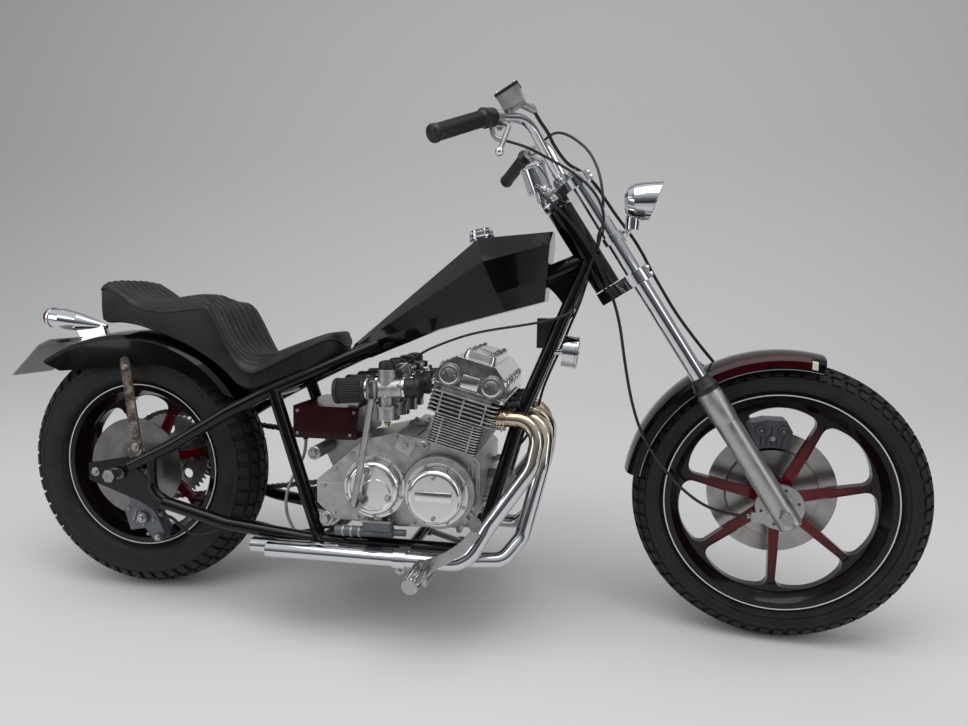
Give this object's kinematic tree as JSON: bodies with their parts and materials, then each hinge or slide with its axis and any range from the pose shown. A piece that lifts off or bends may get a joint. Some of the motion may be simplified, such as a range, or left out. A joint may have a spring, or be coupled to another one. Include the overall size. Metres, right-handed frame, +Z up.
{
  "type": "rigid-frame custom motorcycle",
  "caption": "Rigid-frame custom motorcycle with raked fork, faceted tank, stepped seat, open finned engine and swept pipes, parked leaning on its side stand.",
  "frame": {"origin": "on the ground, under the middle of the whole bike's box as it leans on its side stand", "axes": "+X towards the front wheel, +Y to the rider's left, +Z up"},
  "size_m": [2.2838, 0.8202, 1.2432],
  "materials": {
    "gloss_black": "gloss black paint",
    "wheel_black": "gloss black with dark red towards the hub",
    "tyre": "worn rubber",
    "cast_aluminium": "as cast, oxidised",
    "polished_aluminium": "polished, aged",
    "satin_aluminium": "satin",
    "chrome": "chrome plate",
    "steel": "turned steel",
    "black_rubber": "matt",
    "seat_leather": "black pleated leather",
    "box_black": "semi-gloss",
    "plate_grey": "blank grey"
  },
  "bodies": {
    "chassis": {"head_tube": "gloss_black", "frame_downtubes": "gloss_black", "frame_lower_rails": "gloss_black", "frame_upper_rails": "gloss_black", "frame_seat_tubes": "gloss_black", "rear_axle": "steel", "crankcase": "cast_aluminium", "cylinder_block": "cast_aluminium", "cylinder_head": "cast_aluminium", "cam_cover": "polished_aluminium", "clutch_cover": "polished_aluminium", "ignition_cover": "chrome", "alternator_cover": "polished_aluminium", "sprocket_cover": "polished_aluminium", "chain": "steel", "kickstart_lever": "chrome", "carburettors": "cast_aluminium", "air_filters": "black_rubber", "exhaust_right": "chrome", "exhaust_left": "chrome", "fuel_tank": "gloss_black", "filler_cap": "chrome", "seat": "seat_leather", "rear_fender": "gloss_black", "fender_struts": "chrome", "tail_light": "chrome", "number_plate": "plate_grey", "oil_tank": "box_black", "rear_brake": "satin_aluminium", "foot_pegs": "chrome", "foot_pedals": "chrome", "horn": "chrome", "regulator": "box_black", "throttle_cable": "black_rubber", "clutch_cable": "black_rubber", "rear_brake_hose": "black_rubber", "breather_hose": "black_rubber"},
    "steering": {"fork_tubes": "chrome", "fork_sliders": "satin_aluminium", "front_axle": "steel", "speedometer_drive": "satin_aluminium", "lower_yoke": "chrome", "top_yoke": "chrome", "handlebar": "chrome", "grips": "black_rubber", "hand_controls": "satin_aluminium", "speedometer": "chrome", "headlight": "chrome", "front_fender": "gloss_black", "front_caliper": "satin_aluminium", "speedometer_cable": "black_rubber", "front_brake_hose": "black_rubber"},
    "front_wheel": {"front_tyre": "tyre", "front_rim": "wheel_black", "front_disc": "steel"},
    "rear_wheel": {"rear_tyre": "tyre", "rear_rim": "wheel_black", "rear_disc": "steel", "rear_sprocket": "steel"},
    "side_stand": {"side_stand": "gloss_black"}
  },
  "joints": [
    {"name": "steer", "type": "hinge", "parent": "chassis", "child": "steering", "pos_m": [0.36049, 0.00677, 0.8932], "axis": [-0.5443, 0.1167, 0.8307], "range_deg": [-31, 39], "deforming": ["throttle_cable", "clutch_cable"]},
    {"name": "front_wheel_spin", "type": "hinge", "parent": "steering", "child": "front_wheel", "pos_m": [0.81641, -0.07797, 0.32508], "axis": [0.0585, 0.9931, -0.1012], "continuous": true},
    {"name": "rear_wheel_spin", "type": "hinge", "parent": "chassis", "child": "rear_wheel", "pos_m": [-0.78345, -0.07285, 0.32712], "axis": [-0.0001, 0.9903, -0.1392], "continuous": true},
    {"name": "stand_swing", "type": "hinge", "parent": "chassis", "child": "side_stand", "pos_m": [-0.04353, 0.01725, 0.13441], "axis": [0.0401, 0.5557, 0.8304], "range_deg": [0, 99.8]}
  ]
}
